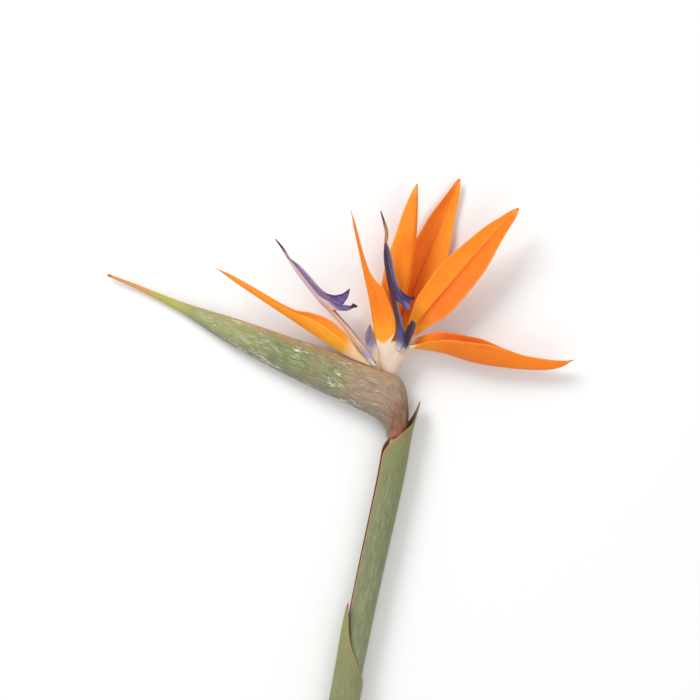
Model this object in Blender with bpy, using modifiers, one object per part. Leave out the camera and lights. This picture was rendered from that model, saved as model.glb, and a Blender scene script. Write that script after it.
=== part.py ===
"""A cut bird of paradise flower, laid on its side on a table.

The stem lies along -Y and the beak-shaped spathe points to -X and +Y. Two open florets stand out of the
slit along the spathe's upper edge. Each floret has an ovary, three folded orange sepals, an arrow of two
fused blue petals with the style in its groove, and one short blue petal.

Shapes are given in millimetres from the throat, the place where the florets leave the spathe, with z as
the height above the table. At the end the whole flower is moved so that the middle of its base box is
the origin.
"""

import math

import bmesh
import bpy
from mathutils import Vector

MM = 0.001

# Driving dimensions, in millimetres.
GAP = 0.35  # left between two pieces that touch on the real flower
STEM_RADIUS = 5.9
STEM_FOOT_RADIUS = 6.8
STEM_TIP_RADIUS = 4.3  # where the stem ends inside the spathe
CUT_SLANT = math.radians(38)  # how far the cut leans from square across the stem
SPATHE_WALL = 1.5
SHEATH_WALL = 0.9
SEPAL_WALL = 1.0
PETAL_WALL = 0.8
STYLE_RADIUS = 0.55
STYLE_DEPTH = 2.3  # from the fold of the arrow to the style that lies in it

COLOURS = {
    "sepal": ((1.0, 0.25, 0.02, 1.0), 0.45),
    "blue_petal": ((0.10, 0.07, 0.28, 1.0), 0.40),
    "style": ((0.42, 0.22, 0.16, 1.0), 0.60),
    "ovary": ((0.88, 0.70, 0.46, 1.0), 0.45),
    "spathe": ((0.20, 0.27, 0.14, 1.0), 0.50),
    "sheath": ((0.22, 0.28, 0.10, 1.0), 0.50),
    "stem": ((0.16, 0.25, 0.08, 1.0), 0.45),
}


def clear_scene():
    for leftover in list(bpy.data.objects):
        bpy.data.objects.remove(leftover)


def material(name):
    made = bpy.data.materials.get(name)
    if made is None:
        made = bpy.data.materials.new(name)
        made.use_nodes = True
        colour, roughness = COLOURS[name]
        shader = made.node_tree.nodes["Principled BSDF"]
        shader.inputs["Base Color"].default_value = colour
        shader.inputs["Roughness"].default_value = roughness
        shader.inputs["Metallic"].default_value = 0.0
    return made


def finished(name, mesh, finish, collection):
    """An object for one piece, shaded smooth, with its finish."""
    piece = bpy.data.objects.new(name, mesh)
    collection.objects.link(piece)
    mesh.materials.append(material(finish))
    mesh.shade_smooth()
    return piece


# Smooth curves and profiles.


def curve_through(points):
    """A function from a share, 0 at the first point and 1 at the last, to a point on a smooth curve."""
    knots = [Vector(p) for p in points]
    shares = [0.0]
    for before, after in zip(knots, knots[1:]):
        shares.append(shares[-1] + (after - before).length)
    shares = [share / shares[-1] for share in shares]

    def slope(i):
        low, high = max(i - 1, 0), min(i + 1, len(knots) - 1)
        return (knots[high] - knots[low]) / (shares[high] - shares[low])

    def at(share):
        i = max([k for k in range(len(knots) - 1) if shares[k] <= share], default=0)
        width = shares[i + 1] - shares[i]
        t = (share - shares[i]) / width
        start, end = slope(i) * width, slope(i + 1) * width
        return (
            knots[i] * (2 * t**3 - 3 * t**2 + 1)
            + start * (t**3 - 2 * t**2 + t)
            + knots[i + 1] * (3 * t**2 - 2 * t**3)
            + end * (t**3 - t**2)
        )

    return at


def profile(pairs):
    """A function through (share, value) pairs that is smooth and never overshoots them."""
    shares = [p[0] for p in pairs]
    values = [p[1] for p in pairs]
    rises = [
        (values[i + 1] - values[i]) / (shares[i + 1] - shares[i])
        for i in range(len(pairs) - 1)
    ]

    def slope(i):
        if i in (0, len(pairs) - 1):
            return rises[0] if i == 0 else rises[-1]
        before, after = rises[i - 1], rises[i]
        return 0.0 if before * after <= 0 else 2 * before * after / (before + after)

    def at(share):
        share = min(max(share, shares[0]), shares[-1])
        i = max([k for k in range(len(rises)) if shares[k] <= share], default=0)
        width = shares[i + 1] - shares[i]
        t = (share - shares[i]) / width
        return (
            values[i] * (2 * t**3 - 3 * t**2 + 1)
            + slope(i) * width * (t**3 - 2 * t**2 + t)
            + values[i + 1] * (3 * t**2 - 2 * t**3)
            + slope(i + 1) * width * (t**3 - t**2)
        )

    return at


def frame_on(path, share, opening):
    """The point on the path, its direction, the direction that the fold opens to, and the sideways one."""
    step = 0.004
    low, high = max(share - step, 0.0), min(share + step, 1.0)
    forward = (path(high) - path(low)).normalized()
    wanted = opening[0].lerp(opening[1], share)
    opens = (wanted - forward * wanted.dot(forward)).normalized()
    return path(share), forward, opens, forward.cross(opens)


# Ways to make a piece.


def solidified(piece, thickness, offset):
    shell = piece.modifiers.new("thickness", "SOLIDIFY")
    shell.thickness = thickness * MM
    shell.offset = offset
    shell.use_even_offset = True
    return shell


def grid_piece(name, rows, columns, place, finish, collection):
    """A sheet: a grid whose corners run 0 to 1 along and -1 to 1 across, put where place(along, across) says."""
    bm = bmesh.new()
    bmesh.ops.create_grid(bm, x_segments=rows, y_segments=columns, size=0.5)
    for vert in bm.verts:
        vert.co = place(vert.co.x + 0.5, 2 * vert.co.y) * MM
    mesh = bpy.data.meshes.new(name)
    bm.to_mesh(mesh)
    bm.free()
    return finished(name, mesh, finish, collection)


def folded_blade(name, shape, wall, finish, collection, rows=24, columns=6, spacing=((0, 0), (1, 1))):
    """A sepal or petal: a sheet folded along its spine, like a boat.

    shape holds spine, the points of the fold; opens, the two directions that the fold opens to at its base
    and its tip; widths, the width of one half; folds, the angle between a half and the opening direction;
    and where it has them, sides, a share of the width for each half, and barbs, how far back the edge lies.
    """
    path = curve_through(shape["spine"])
    opening = [Vector(v) for v in shape["opens"]]
    width, fold = profile(shape["widths"]), profile(shape["folds"])
    barb = profile(shape.get("barbs", [(0, 0), (1, 0)]))
    sides = shape.get("sides", (1.0, 1.0))
    crease = 0.9  # how tightly the fold is rounded
    length = (path(1.0) - path(0.0)).length
    spaced = profile(spacing)

    def place(row, across):
        along = spaced(row)
        back = barb(along) * abs(across) ** 1.5 / length
        half = width(along) * abs(across) * sides[0 if across < 0 else 1]
        angle = math.radians(fold(along))
        centre, forward, opens, sideways = frame_on(path, along, opening)
        return (
            centre
            - forward * back * length
            + opens * math.cos(angle) * (math.hypot(half, crease) - crease)
            + sideways * math.copysign(half * math.sin(angle), across)
        )

    piece = grid_piece(name, rows, columns, place, finish, collection)
    solidified(piece, wall, 0.0)
    return piece


def rings_joined(name, rings, finish, collection):
    """A closed body lofted through rings of points."""
    bm = bmesh.new()
    loops = [[bm.verts.new(p * MM) for p in ring] for ring in rings]
    for low, high in zip(loops, loops[1:]):
        for i in range(len(low)):
            j = (i + 1) % len(low)
            bm.faces.new((low[i], low[j], high[j], high[i]))
    bm.faces.new(loops[0][::-1])
    bm.faces.new(loops[-1])
    bmesh.ops.recalc_face_normals(bm, faces=bm.faces)
    mesh = bpy.data.meshes.new(name)
    bm.to_mesh(mesh)
    bm.free()
    return finished(name, mesh, finish, collection)


def tube(name, points, radii, sides, finish, collection):
    """A round rod: a bevelled curve with a radius at each point."""
    curve = bpy.data.curves.new(name, "CURVE")
    curve.dimensions = "3D"
    curve.bevel_depth = MM
    curve.bevel_resolution = (sides - 4) // 2
    curve.use_fill_caps = True
    spline = curve.splines.new("POLY")
    spline.points.add(len(points) - 1)
    for knot, place, radius in zip(spline.points, points, radii):
        knot.co = (*(place * MM), 1.0)
        knot.radius = radius
    curve.materials.append(material(finish))
    piece = bpy.data.objects.new(name, curve)
    collection.objects.link(piece)
    return piece


def as_mesh(piece, collection):
    """The same piece with its curve made into a closed mesh."""
    graph = bpy.context.evaluated_depsgraph_get()
    mesh = bpy.data.meshes.new_from_object(piece.evaluated_get(graph))
    name, place = piece.name, piece.matrix_world.copy()
    bpy.data.objects.remove(piece)
    bm = bmesh.new()
    bm.from_mesh(mesh)
    bmesh.ops.remove_doubles(bm, verts=bm.verts, dist=0.01 * MM)
    bmesh.ops.recalc_face_normals(bm, faces=bm.faces)
    bm.to_mesh(mesh)
    bm.free()
    made = bpy.data.objects.new(name, mesh)
    made.matrix_world = place
    collection.objects.link(made)
    mesh.shade_smooth()
    return made


# The stem and its sheaths.

STEM_LINE = [
    (-52, -341, STEM_FOOT_RADIUS),
    (-43, -290, 8.5),
    (-27, -210, 9.8),
    (-11, -130, 10.1),
    (2.8, -66, 9.8),
    (7.0, -42, 10.0),
    (7.4, -33, 10.1),
    (6.0, -24.5, 10.3),
    (1.8, -17.6, 10.6),
    (-5.0, -14.4, 10.9),
    (-11.5, -12.6, 11.0),
]
STEM_RADII = [
    (0.0, STEM_FOOT_RADIUS),
    (0.5, 6.3),
    (0.84, STEM_RADIUS),
    (0.872, STEM_TIP_RADIUS + 0.2),
    (1.0, STEM_TIP_RADIUS),
]


def stem(collection, cutters):
    """The bare stalk. Its upper end bends into the spathe, where the florets stand on it."""
    path, radius = curve_through(STEM_LINE), profile(STEM_RADII)
    shares = [i / 12 * 0.84 for i in range(13)] + [0.84 + i / 14 * 0.16 for i in range(1, 15)]
    rod = tube("stem", [path(s) for s in shares], [radius(s) for s in shares], 16, "stem", collection)
    rod = as_mesh(rod, collection)

    block = 40.0
    foot, forward = path(0.0), (path(0.01) - path(0.0)).normalized()
    bpy.ops.mesh.primitive_cube_add(size=2 * block * MM)
    knife = bpy.context.object
    knife.name = "stem_knife"
    for holder in list(knife.users_collection):
        holder.objects.unlink(knife)
    cutters.objects.link(knife)
    knife.rotation_euler = (0.0, 0.0, forward.to_2d().angle_signed(Vector((0, 1))) + CUT_SLANT)
    reach = STEM_FOOT_RADIUS * math.tan(CUT_SLANT) + 0.5
    square = Vector((-math.sin(knife.rotation_euler.z), math.cos(knife.rotation_euler.z), 0))
    knife.location = (foot + forward * reach - square * block) * MM
    knife.hide_render = True
    knife.display_type = "WIRE"
    cut = rod.modifiers.new("slanted_cut", "BOOLEAN")
    cut.operation = "DIFFERENCE"
    cut.object = knife
    return rod


def sheath(name, low, high, turn, radius, tip, spread, collection):
    """A bract that clasps the stem between two shares of its line and ends in a free point.

    turn is the angle round the stem of its midrib, radius the clear radius inside it at its foot and mouth,
    tip the length of its free point, and spread how far the point stands off the stem.
    """
    path = curve_through(STEM_LINE)
    foot, mouth = path(low), path(high)
    forward = (mouth - path(high - 0.02)).normalized()
    length = (mouth - foot).length + tip
    clasp = (mouth - foot).length / length
    front = Vector((0, 0, 1))
    right = forward.cross(front).normalized()
    front = right.cross(forward)
    free = 1 - clasp
    wrap = profile([(0, 172), (clasp * 0.93, 166), (clasp + free * 0.2, 92), (clasp + free * 0.55, 36), (1, 3)])
    spaced = profile([(0, 0), (0.3, clasp * 0.8), (1, 1)])

    def place(row, across):
        along = spaced(row)
        past = max(along - clasp, 0.0) / free
        share = low + (high - low) * min(along / clasp, 1.0)
        axis = path(share) + forward * past * tip
        angle = turn + math.radians(wrap(along)) * across
        clear = radius[0] + (radius[1] - radius[0]) * min(along / clasp, 1.0)
        swell = clear + SHEATH_WALL + 0.15 * math.exp(-((along / 0.03) ** 2)) + spread * past**1.5
        return axis + (right * math.cos(angle) + front * math.sin(angle)) * swell

    piece = grid_piece(name, 24, 18, place, "sheath", collection)
    solidified(piece, SHEATH_WALL, 1.0 if turn_is_inward(place) else -1.0)
    return piece


def turn_is_inward(place):
    """Whether the grid's faces point towards the middle of the sheet that place makes."""
    middle = place(0.2, 0.0)
    normal = (place(0.21, 0.0) - middle).cross(place(0.2, 0.02) - middle)
    return normal.dot(place(0.2, 1.0) - middle) > 0


# The spathe.

# Each pair is a point of the keel, below, and the point of the lips straight across from it.
SPATHE_SECTIONS = [
    # keel x, y; lips x, y; height of the middle; half of the width
    ((0.9, -39.6), (13.7, -37.6), 10.0, 6.3),
    ((0.7, -36.8), (14.0, -31.6), 10.1, 6.6),
    ((0.1, -34.2), (14.3, -24.4), 10.2, 7.4),
    ((-1.6, -31.2), (13.8, -16.4), 10.4, 8.6),
    ((-4.4, -28.6), (12.2, -9.2), 10.7, 9.8),
    ((-8.2, -26.2), (8.6, -3.6), 11.0, 10.6),
    ((-13.0, -23.8), (2.0, -0.4), 11.1, 10.9),
    ((-19.5, -20.8), (-7.0, 2.4), 11.0, 10.8),
    ((-29.0, -16.4), (-18.4, 6.8), 10.6, 10.5),
    ((-42.0, -10.3), (-32.6, 12.6), 10.0, 9.9),
    ((-52.0, -5.6), (-42.6, 16.4), 9.4, 9.3),
    ((-63.0, 0.0), (-54.4, 20.2), 8.7, 8.6),
    ((-81.0, 9.6), (-73.6, 26.8), 7.5, 7.4),
    ((-97.0, 18.6), (-91.2, 32.6), 6.1, 5.9),
    ((-111.0, 28.0), (-107.2, 37.4), 4.9, 4.2),
    ((-123.0, 35.8), (-120.8, 41.6), 3.9, 2.8),
    ((-137.0, 43.6), (-135.6, 47.2), 3.6, 1.8),
    ((-152.0, 51.0), (-151.2, 53.4), 3.7, 1.2),
    ((-167.4, 57.8), (-167.0, 59.2), 4.0, 0.7),
]
# Half the gap between the spathe's two edges, by the count of sections from the neck.
SPATHE_SLIT = [(0, 0.3), (3.6, 0.3), (5, 4.8), (6, 6.2), (7, 5.8), (8, 3.8), (9, 1.2), (10, 0.3), (18, 0.12)]
SPATHE_PINCH = [(0, 0), (6, 0), (10, 1), (18, 1)]  # how much the lips are pressed together


def spathe(collection):
    """The beak: a bract folded along its keel, whose edges part where the florets come out."""
    steps = list(range(len(SPATHE_SECTIONS)))
    lines = {}
    for k, which in ((0, "keel"), (1, "lips")):
        for j, axis in ((0, "x"), (1, "y")):
            lines[which, axis] = profile([(i, SPATHE_SECTIONS[i][k][j]) for i in steps])
    level = profile([(i, SPATHE_SECTIONS[i][2]) for i in steps])
    width = profile([(i, SPATHE_SECTIONS[i][3]) for i in steps])
    slit, pinch = profile(SPATHE_SLIT), profile(SPATHE_PINCH)
    rows, columns = 2 * steps[-1], 20

    def section(along):
        step = along * steps[-1]
        keel = Vector((lines["keel", "x"](step), lines["keel", "y"](step), level(step)))
        lips = Vector((lines["lips", "x"](step), lines["lips", "y"](step), level(step)))
        return step, keel, lips

    def place(along, across):
        step, keel, lips = section(along)
        angle = math.pi * abs(across)
        wide = width(step)
        side = wide * math.sin(angle)
        if angle > math.pi / 2:
            gap = min(slit(step), 0.6 * wide)
            side = gap + (wide - gap) * math.sin(angle) * (1 + 0.22 * math.cos(angle) * pinch(step))
        height = (1 - math.cos(angle)) / 2
        return keel.lerp(lips, height) + Vector((0, 0, math.copysign(side, across)))

    piece = grid_piece("spathe", rows, columns, place, "spathe", collection)
    thick = piece.vertex_groups.new(name="wall")
    bm = bmesh.new()
    bmesh.ops.create_grid(bm, x_segments=rows, y_segments=columns, size=0.5)
    for vert in bm.verts:
        step, keel, lips = section(vert.co.x + 0.5)
        wall = min(SPATHE_WALL, 0.5 * width(step), 0.25 * (lips - keel).length)
        thick.add([vert.index], wall / SPATHE_WALL, "REPLACE")
    bm.free()
    shell = solidified(piece, SPATHE_WALL, 1.0)
    shell.vertex_group = thick.name
    return piece


# The florets.

OVARY_RINGS = {
    # centre, half of the width, half of the height above the table
    "floret_1_ovary": [
        ((-9.0, -7.6, 11.0), 1.3, 1.3),
        ((-8.5, -6.2, 11.0), 2.3, 2.2),
        ((-7.4, -3.4, 11.1), 2.8, 2.9),
        ((-6.6, -1.2, 11.2), 3.3, 3.5),
        ((-6.0, 0.6, 11.3), 3.8, 3.9),
    ],
    "floret_2_ovary": [
        ((2.6, -11.0, 11.2), 1.4, 1.4),
        ((2.8, -9.4, 11.4), 2.5, 2.4),
        ((3.0, -4.4, 11.9), 3.6, 3.5),
        ((3.1, 2.4, 12.7), 4.5, 4.1),
        ((3.5, 6.8, 13.3), 5.4, 4.6),
        ((4.5, 11.0, 13.9), 6.8, 5.1),
        ((5.3, 14.6, 14.5), 8.2, 5.6),
    ],
}


def ovary(name, collection):
    """The pale swelling that a floret's petals stand on, with its short stalk."""
    sides = 18
    rings = OVARY_RINGS[name]
    path = curve_through([centre for centre, _, _ in rings])
    loops = []
    for i, (centre, half_width, half_height) in enumerate(rings):
        share = i / (len(rings) - 1)
        forward = (path(min(share + 0.02, 1)) - path(max(share - 0.02, 0))).normalized()
        up = (Vector((0, 0, 1)) - forward * forward.z).normalized()
        across = forward.cross(up)
        turns = [2 * math.pi * k / sides for k in range(sides)]
        loops.append(
            [
                Vector(centre) + across * math.cos(a) * half_width + up * math.sin(a) * half_height
                for a in turns
            ]
        )
    return rings_joined(name, loops, "ovary", collection)


SEPALS = {
    "floret_1_left_sepal": {
        "spine": [
            (-9.0, 3.0, 12.6),
            (-15, 6.2, 14.0),
            (-27, 12.8, 16.0),
            (-42, 22.4, 17.2),
            (-60, 34.4, 18.8),
            (-78, 46.4, 20.4),
            (-101, 62.0, 22.5),
        ],
        "opens": [(0.50, 0.72, 0.48), (0.52, 0.80, 0.15)],
        "widths": [
            (0, 2.8),
            (0.08, 5.0),
            (0.2, 11.0),
            (0.33, 12.8),
            (0.43, 10.8),
            (0.52, 6.6),
            (0.62, 4.9),
            (0.8, 4.0),
            (0.93, 2.3),
            (1, 0.3),
        ],
        "folds": [(0, 38), (0.2, 32), (0.5, 28), (1, 24)],
    },
    "floret_1_middle_sepal": {
        "spine": [
            (-1.8, 1.0, 9.6),
            (-3.6, 7.5, 9.4),
            (-5.0, 14, 8.6),
            (-4.0, 20.5, 8.2),
            (0.2, 28.5, 8.4),
            (5.8, 36.5, 9.8),
            (10.0, 43, 11.8),
            (13.4, 55.2, 14.8),
            (15.8, 70.2, 17.0),
            (17.6, 88.2, 18.2),
            (18.6, 103.2, 18.6),
            (19.2, 112.2, 18.0),
        ],
        "opens": [(-0.75, 0.1, -0.65), (-0.42, 0.0, -0.90)],
        "widths": [
            (0, 2.2),
            (0.14, 3.6),
            (0.25, 7.6),
            (0.36, 13.0),
            (0.5, 15.0),
            (0.62, 14.4),
            (0.78, 10.4),
            (0.9, 5.6),
            (0.97, 2.4),
            (1, 0.4),
        ],
        "folds": [(0, 55), (0.25, 50), (0.5, 46), (1, 42)],
        "sides": (0.5, 1.0),
    },
    "floret_1_back_sepal": {
        "spine": [
            (-3.6, 1.8, 6.6),
            (-1.6, 8, 4.6),
            (2.6, 18, 2.6),
            (8.8, 32, 1.2),
            (16.0, 46.2, 0.6),
            (21.8, 60.2, 0.5),
            (28.0, 75.2, 0.5),
            (35.2, 93.2, 0.9),
            (41.2, 107, 2.2),
            (45.0, 116.4, 3.8),
        ],
        "opens": [(-0.1, 0.1, 1.0), (0.1, 0.0, 1.0)],
        "widths": [
            (0, 2.6),
            (0.12, 4.0),
            (0.25, 8.5),
            (0.42, 12.6),
            (0.56, 12.6),
            (0.72, 10.0),
            (0.86, 5.6),
            (0.95, 2.4),
            (1, 0.3),
        ],
        "folds": [(0, 62), (0.2, 72), (0.5, 70), (1, 60)],
    },
    "floret_2_left_sepal": {
        "spine": [
            (-4.6, 16.9, 14.6),
            (-5.6, 22.6, 16.2),
            (-7.0, 31.2, 18.0),
            (-9.0, 43.2, 20.2),
            (-11.6, 55.2, 22.4),
            (-14.2, 67.2, 24.4),
            (-16.8, 79.2, 27.6),
            (-19.2, 90.2, 31.0),
            (-20.3, 95.2, 33.0),
        ],
        "opens": [(1.0, 0.22, -0.10), (1.0, 0.2, -0.06)],
        "widths": [
            (0, 9.0),
            (0.08, 12.6),
            (0.17, 14.2),
            (0.3, 12.6),
            (0.4, 10.6),
            (0.48, 7.0),
            (0.56, 4.2),
            (0.75, 2.4),
            (0.93, 1.5),
            (1, 0.3),
        ],
        "folds": [(0, 17), (0.3, 18), (0.6, 22), (1, 25)],
    },
    "floret_2_back_sepal": {
        "spine": [
            (9.6, 15.8, 11.4),
            (13.4, 20.8, 9.8),
            (18.4, 27.4, 9.6),
            (26.2, 37.4, 10.6),
            (38.4, 51.6, 13.0),
            (47.0, 61.8, 15.0),
            (55.6, 72.0, 17.0),
            (68.0, 85.8, 20.2),
            (79.4, 97.6, 23.0),
        ],
        "opens": [(-0.1, 0.1, 1.0), (-0.05, 0.05, 1.0)],
        "widths": [
            (0, 2.4),
            (0.08, 4.2),
            (0.17, 7.4),
            (0.3, 12.4),
            (0.45, 13.6),
            (0.6, 12.4),
            (0.76, 8.8),
            (0.9, 4.4),
            (1, 0.4),
        ],
        "folds": [(0, 62), (0.2, 68), (0.5, 70), (1, 62)],
        "sides": (0.9, 0.95),
    },
    "floret_2_right_sepal": {
        "spine": [
            (14.4, 14.6, 13.6),
            (21, 14.2, 13.8),
            (29, 13.0, 14.0),
            (38, 11.0, 14.0),
            (47, 8.0, 13.8),
            (56, 5.6, 13.4),
            (76, 2.8, 12.2),
            (96, 1.8, 10.8),
            (106, 3.4, 10.6),
            (113.6, 7.4, 10.6),
        ],
        "opens": [(-0.1, 0.86, 0.50), (0.0, 0.95, -0.30)],
        "widths": [
            (0, 3.2),
            (0.06, 4.6),
            (0.16, 9.4),
            (0.28, 13.8),
            (0.4, 15.6),
            (0.52, 14.0),
            (0.66, 9.8),
            (0.8, 7.4),
            (0.92, 4.2),
            (1, 0.3),
        ],
        "folds": [(0, 42), (0.25, 29), (0.6, 27), (1, 22)],
    },
}

# More rows where the barbs are, from the share of the rows to the share of the length.
ARROW_SPACING = ((0, 0), (0.32, 0.42), (0.68, 0.64), (1, 1))
ARROWS = {
    "floret_1_arrow_petals": {
        "spine": [
            (-6.9, 3.6, 15.1),
            (-11.6, 9.6, 16.8),
            (-17.2, 17.0, 18.6),
            (-22.8, 24.4, 19.6),
            (-30.2, 32.9, 21.2),
            (-37.8, 40.6, 22.6),
            (-45.2, 49.6, 23.8),
            (-52.6, 59.4, 25.0),
            (-59.2, 69.2, 26.2),
        ],
        "opens": [(0.72, 0.50, 0.40), (0.70, 0.58, 0.35)],
        "widths": [
            (0, 3.6),
            (0.12, 6.2),
            (0.28, 5.6),
            (0.46, 4.8),
            (0.485, 5.2),
            (0.53, 17.0),
            (0.575, 11.8),
            (0.64, 7.6),
            (0.72, 5.8),
            (0.9, 4.2),
            (1, 1.4),
        ],
        "folds": [(0, 30), (0.44, 26), (0.5, 30), (0.56, 32), (0.7, 30), (1, 25)],
        "barbs": [(0, 0), (0.44, 0), (0.53, 9.5), (0.58, 5.6), (0.7, 1.0), (1, 0)],
    },
    "floret_2_arrow_petals": {
        "spine": [
            (7.1, 15.5, 17.2),
            (7.2, 22.2, 20.2),
            (6.6, 30.2, 22.0),
            (4.9, 39.2, 23.0),
            (2.9, 48.2, 24.0),
            (0.8, 58.2, 25.2),
            (-0.5, 68.2, 26.8),
            (-0.4, 78.6, 28.8),
        ],
        "opens": [(1.0, 0.06, 0.42), (1.0, 0.10, 0.40)],
        "widths": [
            (0, 3.8),
            (0.12, 5.4),
            (0.3, 5.0),
            (0.43, 4.8),
            (0.455, 5.0),
            (0.50, 15.2),
            (0.545, 10.2),
            (0.62, 7.4),
            (0.72, 6.0),
            (0.9, 4.4),
            (1, 1.6),
        ],
        "folds": [(0, 28), (0.44, 26), (0.5, 32), (0.56, 34), (0.7, 30), (1, 25)],
        "barbs": [(0, 0), (0.42, 0), (0.50, 7.5), (0.56, 4.6), (0.7, 1.0), (1, 0)],
    },
}

SHORT_PETALS = {
    "floret_1_short_petal": {
        "spine": [
            (-5.2, 3.6, 11.9),
            (-7.8, 10.0, 11.5),
            (-10.4, 16.2, 11.4),
            (-11.2, 22.4, 12.0),
            (-9.0, 28.6, 12.8),
        ],
        "opens": [(0.7, 0.2, 0.7), (0.85, -0.2, 0.5)],
        "widths": [(0, 1.7), (0.2, 2.8), (0.45, 4.6), (0.7, 4.4), (0.9, 2.2), (1, 0.5)],
        "folds": [(0, 40), (0.5, 40), (1, 36)],
    },
    "floret_2_short_petal": {
        "spine": [
            (12.8, 14.9, 15.6),
            (14.0, 19.6, 16.6),
            (16.0, 24.4, 17.8),
            (17.0, 28.2, 18.4),
            (16.2, 30.8, 18.8),
        ],
        "opens": [(-0.6, 0.2, 0.75), (-0.7, 0.1, 0.7)],
        "widths": [(0, 1.4), (0.2, 2.6), (0.5, 4.2), (0.8, 4.4), (0.95, 2.8), (1, 1.6)],
        "folds": [(0, 38), (0.5, 36), (1, 36)],
    },
}

# Where each style shows past the tip of its arrow: the points after the arrow's own line.
STYLE_ENDS = {
    "floret_1_style": ("floret_1_arrow_petals", [(-61.2, 73.8, 27.6), (-65.2, 79.0, 28.4)]),
    "floret_2_style": ("floret_2_arrow_petals", [(0.6, 83.0, 30.6), (-0.7, 88.4, 31.6), (-2.8, 95.4, 33.0)]),
}


def style(name, collection):
    """The thread that lies in the arrow's groove and shows past its tip."""
    arrow, end = STYLE_ENDS[name]
    shape = ARROWS[arrow]
    path = curve_through(shape["spine"])
    opening = [Vector(v) for v in shape["opens"]]
    points = []
    for i in range(11):
        share = 0.01 + 0.97 * i / 10
        centre, _, opens, _ = frame_on(path, share, opening)
        points.append(centre + opens * STYLE_DEPTH)
    line = curve_through(points + [Vector(p) for p in end])
    shares = [i / 22 for i in range(23)]
    swell = profile([(0, 1.0), (0.84, 1.0), (0.91, 1.6), (1, 0.7)])
    radii = [STYLE_RADIUS * swell(s) for s in shares]
    return tube(name, [line(s) for s in shares], radii, 8, "style", collection)


def stand_on_origin(pieces, holder):
    """Moves the holder so that the middle of the base of the pieces' box is the origin."""
    bpy.context.view_layer.update()
    graph = bpy.context.evaluated_depsgraph_get()
    corners = []
    for piece in pieces:
        shown = piece.evaluated_get(graph)
        mesh = shown.to_mesh()
        corners += [shown.matrix_world @ vert.co for vert in mesh.vertices]
        shown.to_mesh_clear()
    low = Vector([min(c[k] for c in corners) for k in range(3)])
    high = Vector([max(c[k] for c in corners) for k in range(3)])
    holder.location -= Vector(((low.x + high.x) / 2, (low.y + high.y) / 2, low.z))


def main():
    clear_scene()
    flower = bpy.data.collections.new("bird_of_paradise_flower")
    cutters = bpy.data.collections.new("cutters")
    for made in (flower, cutters):
        bpy.context.scene.collection.children.link(made)

    pieces = [stem(flower, cutters)]
    pieces.append(sheath("upper_sheath", 0.46, 0.884, math.radians(-12), (6.65, 7.5), 26.0, 2.4, flower))
    pieces.append(sheath("lower_sheath", 0.10, 0.46, math.radians(150), (7.05, 8.5), 46.0, 1.4, flower))
    pieces.append(spathe(flower))
    pieces += [ovary(name, flower) for name in OVARY_RINGS]
    for name, shape in SEPALS.items():
        pieces.append(folded_blade(name, shape, SEPAL_WALL, "sepal", flower))
    for name, shape in ARROWS.items():
        pieces.append(folded_blade(name, shape, PETAL_WALL, "blue_petal", flower, 32, 8, ARROW_SPACING))
    for name, shape in SHORT_PETALS.items():
        pieces.append(folded_blade(name, shape, PETAL_WALL, "blue_petal", flower, rows=12))
    pieces += [style(name, flower) for name in STYLE_ENDS]

    holder = bpy.data.objects.new("flower", None)
    flower.objects.link(holder)
    for piece in [*pieces, *cutters.objects]:
        piece.parent = holder
    stand_on_origin(pieces, holder)


main()
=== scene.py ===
import math

import bpy
import numpy as np
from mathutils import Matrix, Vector


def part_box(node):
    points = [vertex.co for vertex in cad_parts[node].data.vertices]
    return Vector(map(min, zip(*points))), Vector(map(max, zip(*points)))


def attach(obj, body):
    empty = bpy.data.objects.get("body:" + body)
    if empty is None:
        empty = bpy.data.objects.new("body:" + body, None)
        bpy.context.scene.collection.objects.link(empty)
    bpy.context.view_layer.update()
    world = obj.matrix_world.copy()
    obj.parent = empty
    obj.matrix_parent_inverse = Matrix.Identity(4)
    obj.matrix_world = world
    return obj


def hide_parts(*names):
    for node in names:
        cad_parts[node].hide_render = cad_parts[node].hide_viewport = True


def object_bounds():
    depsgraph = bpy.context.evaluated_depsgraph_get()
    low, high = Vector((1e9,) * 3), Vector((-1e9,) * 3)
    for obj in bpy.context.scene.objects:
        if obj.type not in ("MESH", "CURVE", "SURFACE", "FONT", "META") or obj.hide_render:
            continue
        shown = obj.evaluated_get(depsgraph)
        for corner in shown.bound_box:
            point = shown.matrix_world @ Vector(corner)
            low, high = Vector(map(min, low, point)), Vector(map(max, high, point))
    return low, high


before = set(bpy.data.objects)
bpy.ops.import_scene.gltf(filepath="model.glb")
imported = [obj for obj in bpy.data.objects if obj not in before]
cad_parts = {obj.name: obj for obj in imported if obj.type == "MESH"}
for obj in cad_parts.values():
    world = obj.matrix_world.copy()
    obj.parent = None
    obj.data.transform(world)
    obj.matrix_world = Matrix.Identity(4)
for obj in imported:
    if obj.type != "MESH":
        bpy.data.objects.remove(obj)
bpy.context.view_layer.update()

# A cut bird of paradise flower lying on a pale table. Shapes are in millimetres from the throat, the place
# where the florets leave the spathe: x to the right, y away from the stem's foot, z above the table.

mm = 0.001
beakTipAt = (-167.4, 59.2)  # how far the spathe's box reaches from the throat
floorGap = 0.054  # heights are counted from this far above the lowest point


def throatPlace():
    low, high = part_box("spathe")
    return Vector((low.x - beakTipAt[0] * mm, high.y - beakTipAt[1] * mm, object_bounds()[0][2] + floorGap * mm))


throat = throatPlace()
up = np.array([0.0, 0.0, 1.0])


# Lines and profiles

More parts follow.
